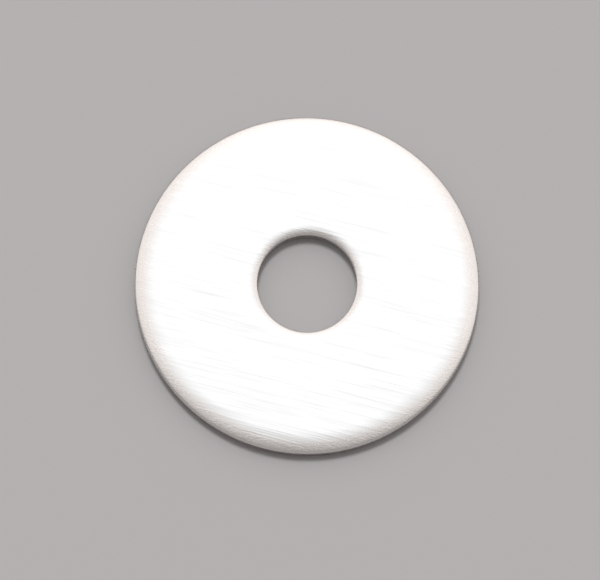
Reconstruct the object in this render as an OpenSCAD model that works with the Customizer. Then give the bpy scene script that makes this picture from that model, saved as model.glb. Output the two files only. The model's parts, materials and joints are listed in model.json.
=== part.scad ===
// Large-series flat washer (penny washer) for an M8 bolt, stamped from sheet.
// It stands on its flat underside, with its bore on the Z axis and its rolled face up.
// Both shears ran the same way through the sheet, so the rim and the bore each show, from the
// top down: a rolled-over edge, a burnished straight land, and a torn zone that leans back.

/* [Blank] */
// Outside diameter
outer_d = 29.8; // [22:0.1:40]
// Bore diameter, a clearance size for the bolt
bore_d = 8.6; // [8.4:0.01:9]
// Sheet thickness
thickness = 1.5; // [1.2:0.1:3]

/* [Rolled rim] */
// How far in from the rim the face starts to fall
rim_roll_w = 2; // [1.2:0.1:2.4]
// How far down the rolled edge reaches
rim_roll_d = 0.4; // [0.3:0.01:0.5]
// Radius of the nose where the roll meets the wall
rim_nose_r = 0.22; // [0.1:0.01:0.25]

/* [Rolled bore] */
// How far out from the bore the face starts to fall
bore_roll_w = 1; // [0.7:0.1:1.4]
// How far down the rolled edge reaches
bore_roll_d = 0.24; // [0.2:0.01:0.35]
// Radius of the nose where the roll meets the wall
bore_nose_r = 0.12; // [0.08:0.01:0.16]

/* [Sheared walls] */
// Share of each wall that is burnished and truly cylindrical
land_share = 0.6; // [0.4:0.05:0.8]
// How far the torn zone leans back by the underside
tear_setback = 0.04; // [0.02:0.01:0.08]
// Dulled corner along the underside
edge_break = 0.05; // [0.02:0.01:0.08]

/* [Hidden] */
$fn = 180;

rim_r = outer_d / 2;
bore_r = bore_d / 2;
// Height of the foot of each burnished land
rim_land_z = (thickness - rim_roll_d) * (1 - land_share);
bore_land_z = (thickness - bore_roll_d) * (1 - land_share);
// Clearance of a cutting shape past the surface that it trims
overrun = 0.1;

// Waste above one rolled edge, with the square corner at the origin and the wall on its +X side:
// a broad arc leaves the face level and runs tangent into the nose, which ends upright on the wall
module roll_waste(width, depth, nose_r) {
    run = width - nose_r;
    drop = depth - nose_r;
    centre_gap = (run * run + drop * drop) / (2 * drop);
    broad_r = centre_gap + nose_r;
    meet_x = nose_r * (run / centre_gap - 1);
    difference() {
        translate([-width, -depth])
            square([width + overrun, depth + overrun]);
        intersection() {
            translate([-width, -broad_r])
                circle(broad_r);
            translate([-width, -depth - overrun])
                square([width + meet_x, depth + overrun]);
        }
        translate([-nose_r, -depth])
            circle(nose_r);
        translate([-nose_r, -depth - overrun])
            square([nose_r, overrun]);
    }
}

// Outline of the sheared sheet before its edges are rolled, on the radius and height axes
module sheared_outline() {
    bore_foot = bore_r + tear_setback;
    rim_foot = rim_r - tear_setback;
    polygon([
        [bore_foot + edge_break, 0],
        [rim_foot - edge_break, 0],
        [rim_foot, edge_break],
        [rim_r, rim_land_z],
        [rim_r, thickness],
        [bore_r, thickness],
        [bore_r, bore_land_z],
        [bore_foot, edge_break]
    ]);
}

// Half section of the washer
module washer_section() {
    difference() {
        sheared_outline();
        translate([rim_r, thickness])
            roll_waste(rim_roll_w, rim_roll_d, rim_nose_r);
        translate([bore_r, thickness])
            mirror([1, 0])
                roll_waste(bore_roll_w, bore_roll_d, bore_nose_r);
    }
}

// The whole washer, one stamping of bright brushed stainless
module flat_washer() {
    color([0.86, 0.86, 0.85])
        rotate_extrude()
            washer_section();
}

flat_washer();
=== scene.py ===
import json
from math import asin, cos, pi, radians, sin

import bmesh
import bpy
from mathutils import Matrix, Vector, noise


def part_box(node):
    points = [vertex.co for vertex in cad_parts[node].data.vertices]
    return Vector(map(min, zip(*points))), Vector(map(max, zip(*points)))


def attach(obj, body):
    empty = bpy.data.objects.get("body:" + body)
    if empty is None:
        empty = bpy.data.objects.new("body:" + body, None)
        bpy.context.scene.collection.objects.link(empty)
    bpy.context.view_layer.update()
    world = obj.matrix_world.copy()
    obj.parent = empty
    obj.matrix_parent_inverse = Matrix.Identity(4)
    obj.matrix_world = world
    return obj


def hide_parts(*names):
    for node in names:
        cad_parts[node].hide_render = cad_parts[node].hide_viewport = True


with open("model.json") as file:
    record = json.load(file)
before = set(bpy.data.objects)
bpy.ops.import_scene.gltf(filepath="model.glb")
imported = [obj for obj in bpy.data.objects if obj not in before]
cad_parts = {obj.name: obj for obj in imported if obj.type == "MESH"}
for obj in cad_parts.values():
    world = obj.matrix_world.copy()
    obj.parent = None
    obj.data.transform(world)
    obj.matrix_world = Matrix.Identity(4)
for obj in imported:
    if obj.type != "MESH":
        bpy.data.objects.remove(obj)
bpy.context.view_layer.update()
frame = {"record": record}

mm = 0.001
print("frame loaded")


def hexToLinear(code):
    channels = [int(code[i:i + 2], 16) / 255 for i in (1, 3, 5)]
    linear = [c / 12.92 if c <= 0.04045 else ((c + 0.055) / 1.055) ** 2.4 for c in channels]
    return (*linear, 1)


def addNode(tree, kind, inputs=None, **settings):
    # one node with its settings, each input given a plain value or another node's socket; a Mix
    # takes its factor at 0, numbers at 2 and 3 and colours at 6 and 7, and a MapRange takes its
    # value at 0, the range it comes in at 1 and 2 and the range it leaves in at 3 and 4
    node = tree.nodes.new("ShaderNode" + kind)
    for name, value in settings.items():
        setattr(node, name, value)
    for key, value in (inputs or {}).items():
        if isinstance(value, bpy.types.NodeSocket):
            tree.links.new(value, node.inputs[key])
        else:
            node.inputs[key].default_value = value
    return node


def newMaterial(name):
    material = bpy.data.materials.new(name)
    material.use_nodes = True
    material.node_tree.nodes.clear()
    return material, material.node_tree


# Camera: almost straight down on the rolled face, from a long lens
view = {
    "azimuth": 10,  # degrees, so that the grain falls to the right
    "elevation": 77.65,
    "roll": 4.5,
    "distance": 300,  # mm
    "lens": 207.3,  # mm
    "sensor": 36,  # mm
    "reach": (10, 20000),  # mm, the nearest and farthest that it sees
    "aside": 0.59,  # mm that the aim lies left of the bore's centre
    "below": 0.28,  # mm that the aim lies below it
}


def makeCamera():
    data = bpy.data.cameras.new("longLens")
    data.lens = view["lens"]
    data.sensor_width = view["sensor"]
    data.clip_start, data.clip_end = (length * mm for length in view["reach"])
    azimuth, elevation = radians(view["azimuth"]), radians(view["elevation"])
    back = Vector((sin(azimuth) * cos(elevation), -cos(azimuth) * cos(elevation), sin(elevation)))
    turn = back.to_track_quat("Z", "Y").to_matrix() @ Matrix.Rotation(radians(view["roll"]), 3, "Z")
    aim = turn @ Vector((-view["aside"], -view["below"], 0)) * mm
    camera = bpy.data.objects.new("camera", data)
    camera.matrix_world = Matrix.Translation(aim + back * view["distance"] * mm) @ turn.to_4x4()
    bpy.context.scene.collection.objects.link(camera)
    bpy.context.scene.camera = camera


makeCamera()
print("camera placed")


# The washer: one stamping, drawn as a half section and spun round its bore
record = frame["record"]
boreMount = next(mount for mount in record["mounts"] if mount["name"] == "bolt_bore")
lowCorner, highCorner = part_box("flat_washer")
washer = {
    "rimRadius": highCorner.x / mm,
    "boreRadius": boreMount["dims"]["r_mm"],
    "thickness": highCorner.z / mm,
    "rimRoll": (2.0, 0.40, 0.22),  # width, depth and nose radius of the rolled edge, mm
    "boreRoll": (1.0, 0.24, 0.12),
    "landShare": 0.6,  # share of each wall that is burnished
    "tearSetback": 0.04,  # mm that the torn zone leans back by the underside
    "footRadius": 0.05,  # mm, the dulled corner along the underside
    "footBorder": 0.1,  # mm, a narrow face beside that corner, so that the underside shades flat
    "weld": 0.001,  # mm, closer points are one
    # faces along each stretch of the section, then round the ring
    "topSteps": 10,
    "rimRollSteps": (12, 7),  # broad arc and nose
    "boreRollSteps": (9, 6),
    "landSteps": 7,
    "tornSteps": 9,
    "footSteps": 3,
    "undersideSteps": 8,
    "ringSteps": 900,
    "sectors": 30,  # one is spun, and the rest are copies of it
    # wear: how far it goes and over what length, both in mm, and how fast its finer waves fade
    "sag": {"size": 0.008, "span": 6},  # the faces stray from flat
    "wander": {"size": 0.09, "span": 1.4, "fade": 0.8},  # the foot of the burnished land
    "grit": {"size": 0.02, "span": 0.22, "fade": 0.7},  # the torn metal
    "gritSunk": 0.6,  # of its size, so that most of it lies below the wall
    "octaves": (2.0, 3),  # how much finer each is than the last, and how many
}


def rollArcs(width, depth, nose):
    # broad arc level with the face, then the nose tangent to it and to the wall
    run, drop = width - nose, depth - nose
    gap = (run * run + drop * drop) / (2 * drop)
    return gap + nose, asin(run / gap)


def drawLine(bm, start, end, steps=1):
    pen = start
    stride = (Vector((end[0], 0, end[1])) - start.co) / steps
    for _ in range(steps):
        made = bmesh.ops.extrude_vert_indiv(bm, verts=[pen])
        pen = made["verts"][0]
        bmesh.ops.translate(bm, verts=[pen], vec=stride)
    return pen


def drawArc(bm, start, centre, angle, steps):
    # turns clockwise for a positive angle, seen with the bore on the left
    made = bmesh.ops.spin(
        bm, geom=[start], cent=(centre[0], 0, centre[1]), axis=(0, 1, 0), angle=angle, steps=steps
    )
    return next(part for part in made["geom_last"] if isinstance(part, bmesh.types.BMVert))


def drawSection(bm):
    # clockwise from the inner end of the flat top, in mm: out over the rim, back along the
    # underside and up through the bore
    rim, bore, top = washer["rimRadius"], washer["boreRadius"], washer["thickness"]
    foot, border = washer["footRadius"], washer["footBorder"]
    land, torn, corner = washer["landSteps"], washer["tornSteps"], washer["footSteps"]
    rimWidth, rimDepth, rimNose = washer["rimRoll"]
    boreWidth, boreDepth, boreNose = washer["boreRoll"]
    rimBroad, rimTurn = rollArcs(*washer["rimRoll"])
    boreBroad, boreTurn = rollArcs(*washer["boreRoll"])
    rimLand = (top - rimDepth) * (1 - washer["landShare"])
    boreLand = (top - boreDepth) * (1 - washer["landShare"])
    # the flat underside runs between these
    rimFoot = rim - washer["tearSetback"] - foot
    boreFoot = bore + washer["tearSetback"] + foot

    pen = bm.verts.new((bore + boreWidth, 0, top))
    pen = drawLine(bm, pen, (rim - rimWidth, top), washer["topSteps"])
    broad, nose = washer["rimRollSteps"]
    pen = drawArc(bm, pen, (rim - rimWidth, top - rimBroad), rimTurn, broad)
    pen = drawArc(bm, pen, (rim - rimNose, top - rimDepth), pi / 2 - rimTurn, nose)
    pen = drawLine(bm, pen, (rim, rimLand), land)
    pen = drawLine(bm, pen, (rimFoot + foot, foot), torn)
    pen = drawArc(bm, pen, (rimFoot, foot), pi / 2, corner)
    pen = drawLine(bm, pen, (rimFoot - border, 0))
    pen = drawLine(bm, pen, (boreFoot + border, 0), washer["undersideSteps"])
    pen = drawLine(bm, pen, (boreFoot, 0))
    pen = drawArc(bm, pen, (boreFoot, foot), pi / 2, corner)
    pen = drawLine(bm, pen, (bore, boreLand), torn)
    pen = drawLine(bm, pen, (bore, top - boreDepth), land)
    broad, nose = washer["boreRollSteps"]
    pen = drawArc(bm, pen, (bore + boreNose, top - boreDepth), pi / 2 - boreTurn, nose)
    drawArc(bm, pen, (bore + boreWidth, top - boreBroad), boreTurn, broad)
    bmesh.ops.remove_doubles(bm, verts=bm.verts[:], dist=washer["weld"])


def waves(place, wear):
    return noise.fractal(place / wear["span"], wear["fade"], *washer["octaves"])


def wearWasher(bm):
    # in mm: each burnished land ends on a wandering line, the metal torn below it is granular, and
    # the faces aren't dead flat; two attributes tell the finish where the walls and the tears are
    wall = bm.verts.layers.float.new("wall")
    torn = bm.verts.layers.float.new("torn")
    top, foot, weld = washer["thickness"], washer["footRadius"], washer["weld"]
    sag, wander, grit = washer["sag"], washer["wander"], washer["grit"]
    middle = (washer["rimRadius"] + washer["boreRadius"]) / 2
    for vert in bm.verts:
        place = vert.co.copy()
        outward = Vector((place.x, place.y, 0)).normalized()
        if place.xy.length > middle:
            inset, roll = washer["rimRadius"] - place.xy.length, washer["rimRoll"]
        else:
            inset, roll = place.xy.length - washer["boreRadius"], washer["boreRoll"]
            outward.negate()
        landTop = top - roll[1]
        landFoot = landTop * (1 - washer["landShare"])
        if inset > washer["tearSetback"] + weld or place.z > landTop + weld:
            # always inwards, by none to all of the sag
            inwards = 1 if place.z < top / 2 else -1
            vert.co.z += inwards * sag["size"] * (1 + noise.noise(place / sag["span"])) / 2
            continue
        vert[wall] = 1
        shift = wander["size"] * waves(outward * middle, wander)
        if place.z > landFoot - weld:
            vert.co.z += shift * (landTop - place.z) / (landTop - landFoot)
            continue
        vert[torn] = 1
        vert.co.z += shift * (place.z - foot) / (landFoot - foot)
        if place.z > foot + weld:
            vert.co += outward * grit["size"] * (waves(place, grit) - washer["gritSunk"])


def makeWasher():
    bm = bmesh.new()
    drawSection(bm)
    # one short sector is spun from the section, and copies of it are laid round the ring
    ring = {"cent": (0, 0, 0), "axis": (0, 0, 1)}
    sectors = washer["sectors"]
    sector = 2 * pi / sectors
    wire = bm.verts[:] + bm.edges[:]
    bmesh.ops.spin(bm, geom=wire, angle=sector, steps=washer["ringSteps"] // sectors, **ring)
    solid = bm.verts[:] + bm.edges[:] + bm.faces[:]
    bmesh.ops.spin(
        bm, geom=solid, angle=2 * pi - sector, steps=sectors - 1, use_duplicate=True, **ring
    )
    bmesh.ops.remove_doubles(bm, verts=bm.verts[:], dist=washer["weld"])
    bmesh.ops.recalc_face_normals(bm, faces=bm.faces[:])
    print("washer spun:", len(bm.faces), "faces")
    wearWasher(bm)
    bmesh.ops.scale(bm, vec=(mm, mm, mm), verts=bm.verts[:])
    for face in bm.faces:
        face.smooth = True
    mesh = bpy.data.meshes.new("washer")
    bm.to_mesh(mesh)
    bm.free()
    piece = bpy.data.objects.new("washer", mesh)
    bpy.context.scene.collection.objects.link(piece)
    return piece


piece = makeWasher()
print("washer worn")


# Stainless sheet, belt-brushed before it was stamped. The grain shows as straight silky lines on
# both faces, the rolled edges are hazy from tumbling and a little warmer, and the sheared walls
# are bright and streaked above, grey and granular below.
finish = {
    "ridge": "#D7D8D8",
    "groove": "#C4C4C4",
    "faceRoughness": 0.31,
    "grooveRoughness": 0.05,  # what a groove adds to it
    "anisotropy": 0.3,
    "grainHeight": 0.010,  # mm, grooves that the belt cut
    "cloudShade": (0.97, 1.02),  # the faces are very slightly uneven
    # what lies over the brushed steel, in order: its colour, how far its pattern shades it, its
    # roughness and its relief in mm
    "cover": {
        "rolled": {"colour": "#D5D0CD", "contrast": 0.10, "roughness": 0.27, "height": 0.008},
        "burnished": {"colour": "#CFCDCB", "contrast": 0.18, "roughness": 0.25, "height": 0.03},
        "torn": {"colour": "#B2AEAA", "contrast": 0.4, "roughness": 0.6, "height": 0.09},
    },
    "haze": 0.75,  # the grain still shows faintly through the haze on the rolled edges
    "hazeDepth": (0.02, 0.10),  # mm below the top face, where it starts and where it is full
    "hazeRagged": 0.03,  # mm that its start strays either way
    "hazeFloor": 0.02,  # mm above the underside, which has none
    # size of each pattern along X, Y and Z in mm, and its octaves; a real belt line is nearer
    # 0.03 mm wide, too fine to show, so the grain is drawn up to ten times as coarse
    "patterns": {
        "lines": ((9, 0.22, 0.9), 1),
        "hairlines": ((3, 0.10, 0.9), 0),
        "bands": ((14, 0.55, 0.9), 1),
        "cloud": ((7, 2.5, 2.5), 2),
        "rolled": ((0.13, 0.13, 0.13), 2),
        "burnished": ((0.15, 0.15, 3.0), 2),
        "torn": ((0.2, 0.2, 0.11), 4),
    },
    "octaveShare": 0.6,  # strength of each octave beside the last
    "patternRange": (0.22, 0.78),  # the part of each noise that is stretched over 0 to 1
    "grainMix": {"hairlines": 0.4, "bands": 0.25},  # laid over the lines in turn
}


def makePatterns(tree, place):
    pattern = {}
    low, high = finish["patternRange"]
    for name, (size, octaves) in finish["patterns"].items():
        scale = tuple(1 / (side * mm) for side in size)
        stretched = addNode(tree, "Mapping", {"Vector": place, "Scale": scale}).outputs[0]
        made = addNode(tree, "TexNoise", {
            "Vector": stretched, "Scale": 1.0, "Detail": octaves, "Roughness": finish["octaveShare"],
        })
        level = addNode(tree, "MapRange", {0: made.outputs[0], 1: low, 2: high})
        pattern[name] = level.outputs[0]
    return pattern


def placeCovers(tree, place, pattern):
    # a ragged line starts the haze on the rolled edges, and the mesh says where the walls are
    height = addNode(tree, "SeparateXYZ", {0: place}).outputs["Z"]
    stray = finish["hazeRagged"] * mm
    ragged = addNode(tree, "MapRange", {0: pattern["rolled"], 3: -stray, 4: stray}).outputs[0]
    edge = addNode(tree, "Math", {0: height, 1: ragged}, operation="ADD").outputs[0]
    start, full = (highCorner.z - depth * mm for depth in finish["hazeDepth"])
    fallen = addNode(tree, "MapRange", {0: edge, 1: start, 2: full, 4: finish["haze"]}).outputs[0]
    raised = addNode(tree, "Math", {
        0: height, 1: finish["hazeFloor"] * mm,
    }, operation="GREATER_THAN").outputs[0]
    return {
        "rolled": addNode(tree, "Math", {0: fallen, 1: raised}, operation="MULTIPLY").outputs[0],
        "burnished": addNode(tree, "Attribute", attribute_name="wall").outputs["Fac"],
        "torn": addNode(tree, "Attribute", attribute_name="torn").outputs["Fac"],
    }


def brushedStainless():
    material, tree = newMaterial("brushedStainless")
    place = addNode(tree, "TexCoord").outputs["Object"]
    pattern = makePatterns(tree, place)

    # the brushed steel, with its grain running along X
    grain = pattern["lines"]
    for name, share in finish["grainMix"].items():
        grain = addNode(tree, "Mix", {0: share, 2: grain, 3: pattern[name]}).outputs[0]
    ends = {6: hexToLinear(finish["groove"]), 7: hexToLinear(finish["ridge"])}
    tint = addNode(tree, "Mix", {0: grain, **ends}, data_type="RGBA").outputs[2]
    dark, light = finish["cloudShade"]
    shade = addNode(tree, "MapRange", {0: pattern["cloud"], 3: dark, 4: light}).outputs[0]
    rough = addNode(tree, "Math", {
        0: grain, 1: -finish["grooveRoughness"], 2: finish["faceRoughness"],
    }, operation="MULTIPLY_ADD").outputs[0]
    relief = addNode(tree, "Math", {
        0: grain, 1: finish["grainHeight"] * mm,
    }, operation="MULTIPLY").outputs[0]

    for name, where in placeCovers(tree, place, pattern).items():
        cover = finish["cover"][name]
        ends = {6: tint, 7: hexToLinear(cover["colour"])}
        tint = addNode(tree, "Mix", {0: where, **ends}, data_type="RGBA").outputs[2]
        dark, light = 1 - cover["contrast"], 1 + cover["contrast"]
        spots = addNode(tree, "MapRange", {0: pattern[name], 3: dark, 4: light}).outputs[0]
        shade = addNode(tree, "Mix", {0: where, 2: shade, 3: spots}).outputs[0]
        rough = addNode(tree, "Mix", {0: where, 2: rough, 3: cover["roughness"]}).outputs[0]
        bumps = addNode(tree, "Math", {
            0: pattern[name], 1: cover["height"] * mm,
        }, operation="MULTIPLY").outputs[0]
        relief = addNode(tree, "Mix", {0: where, 2: relief, 3: bumps}).outputs[0]

    colour = addNode(tree, "VectorMath", {0: tint, 1: shade}, operation="MULTIPLY").outputs[0]
    bump = addNode(tree, "Bump", {"Height": relief, "Distance": 1.0, "Strength": 1.0}).outputs[0]
    # grooves along X spread the light along Y
    across = addNode(tree, "CombineXYZ", {"X": 0.0, "Y": 1.0, "Z": 0.0}).outputs[0]
    shader = addNode(tree, "BsdfPrincipled", {
        "Base Color": colour, "Metallic": 1.0, "Roughness": rough, "Normal": bump,
        "Anisotropic": finish["anisotropy"], "Tangent": across,
    })
    addNode(tree, "OutputMaterial", {"Surface": shader.outputs["BSDF"]})
    return material


piece.data.materials.append(brushedStainless())
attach(piece, "root")
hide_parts("flat_washer")
print("washer finished")


# Studio: a plain pale floor, one soft panel overhead and a far key
studio = {
    "floorColour": "#8F8D8E",
    "floorRoughness": 0.85,
    "floorRadius": 2500,  # mm
    "floorSides": 96,
    "floorDrop": 0.01,  # mm below the washer
    # the lamps stand as seen from the camera's side, in mm: right, away and up
    "panel": {"centre": (5, 195, 500), "size": (300, 420), "glow": 0.66, "tint": "#ECF8FF"},
    "key": {"from": (-30, 174, 460), "breadth": 13.5, "glow": 2.3},  # breadth in degrees
    # the dome round it: bright behind the washer, dim where the camera stands, then fair again
    "farGlow": 1.32,
    "hoodGlow": 0.38,
    "nearGlow": 0.55,
    "domeTint": "#FFFAF7",
    # where it changes, as the sine of the angle past the zenith
    "farEdge": (-0.12, 0.02),
    "nearEdge": (-0.3, -0.75),
    "horizonColour": "#BAB6B6",
    "horizonBand": (0.05, 0.4),  # sine of the height over which it gives way to the dome
}


def paintedBoard():
    # matt and even, a mid grey that the key lights to a pale one
    material, tree = newMaterial("paintedBoard")
    shader = addNode(tree, "BsdfPrincipled", {
        "Base Color": hexToLinear(studio["floorColour"]), "Roughness": studio["floorRoughness"],
    })
    addNode(tree, "OutputMaterial", {"Surface": shader.outputs["BSDF"]})
    return material


def makeFloor():
    bm = bmesh.new()
    bmesh.ops.create_circle(
        bm, cap_ends=True, segments=studio["floorSides"], radius=studio["floorRadius"] * mm
    )
    level = lowCorner.z - studio["floorDrop"] * mm
    bmesh.ops.translate(bm, verts=bm.verts[:], vec=(0, 0, level))
    mesh = bpy.data.meshes.new("floor")
    bm.to_mesh(mesh)
    bm.free()
    floor = bpy.data.objects.new("floor", mesh)
    floor.data.materials.append(paintedBoard())
    bpy.context.scene.collection.objects.link(floor)


def placeLamp(lamp, centre):
    lamp.location = Matrix.Rotation(radians(view["azimuth"]), 3, "Z") @ Vector(centre) * mm
    bpy.context.scene.collection.objects.link(lamp)


def makePanel():
    width, depth = (side * mm for side in studio["panel"]["size"])
    data = bpy.data.lights.new("panel", "AREA")
    data.shape = "RECTANGLE"
    data.size, data.size_y = width, depth
    # the power that makes it glow at that level
    data.energy = studio["panel"]["glow"] * pi * width * depth
    data.color = hexToLinear(studio["panel"]["tint"])[:3]
    lamp = bpy.data.objects.new("panel", data)
    placeLamp(lamp, studio["panel"]["centre"])
    lamp.rotation_euler = (0, 0, radians(view["azimuth"]))


def makeKey():
    data = bpy.data.lights.new("key", "SUN")
    data.angle = radians(studio["key"]["breadth"])
    data.energy = studio["key"]["glow"]
    lamp = bpy.data.objects.new("key", data)
    placeLamp(lamp, studio["key"]["from"])
    lamp.rotation_euler = lamp.location.to_track_quat("Z", "Y").to_euler()
    lamp.visible_glossy = False  # it draws the shadow, and would burn out the steel


def makeDome():
    world = bpy.data.worlds.new("studio")
    world.use_nodes = True
    tree = world.node_tree
    tree.nodes.clear()
    way = addNode(tree, "TexCoord").outputs["Generated"]
    away = Matrix.Rotation(radians(view["azimuth"]), 3, "Z") @ Vector((0, 1, 0))
    ahead = addNode(tree, "VectorMath", {0: way, 1: away}, operation="DOT_PRODUCT").outputs["Value"]
    up = addNode(tree, "SeparateXYZ", {0: way}).outputs["Z"]
    past = {}
    for name, along in (("farEdge", ahead), ("nearEdge", ahead), ("horizonBand", up)):
        start, end = studio[name]
        past[name] = addNode(tree, "MapRange", {
            0: along, 1: start, 2: end,
        }, interpolation_type="SMOOTHSTEP").outputs[0]
    near = addNode(tree, "Mix", {
        0: past["nearEdge"], 2: studio["hoodGlow"], 3: studio["nearGlow"],
    }).outputs[0]
    level = addNode(tree, "Mix", {0: past["farEdge"], 2: near, 3: studio["farGlow"]}).outputs[0]
    tint = hexToLinear(studio["domeTint"])[:3]
    dome = addNode(tree, "VectorMath", {0: level, 1: tint}, operation="MULTIPLY").outputs[0]
    ends = {6: hexToLinear(studio["horizonColour"]), 7: dome}
    glow = addNode(tree, "Mix", {0: past["horizonBand"], **ends}, data_type="RGBA").outputs[2]
    background = addNode(tree, "Background", {"Color": glow, "Strength": 1.0})
    addNode(tree, "OutputWorld", {"Surface": background.outputs[0]})
    bpy.context.scene.world = world


makeFloor()
makePanel()
makeKey()
makeDome()
bpy.context.scene.view_settings.view_transform = "Standard"
print("studio lit")
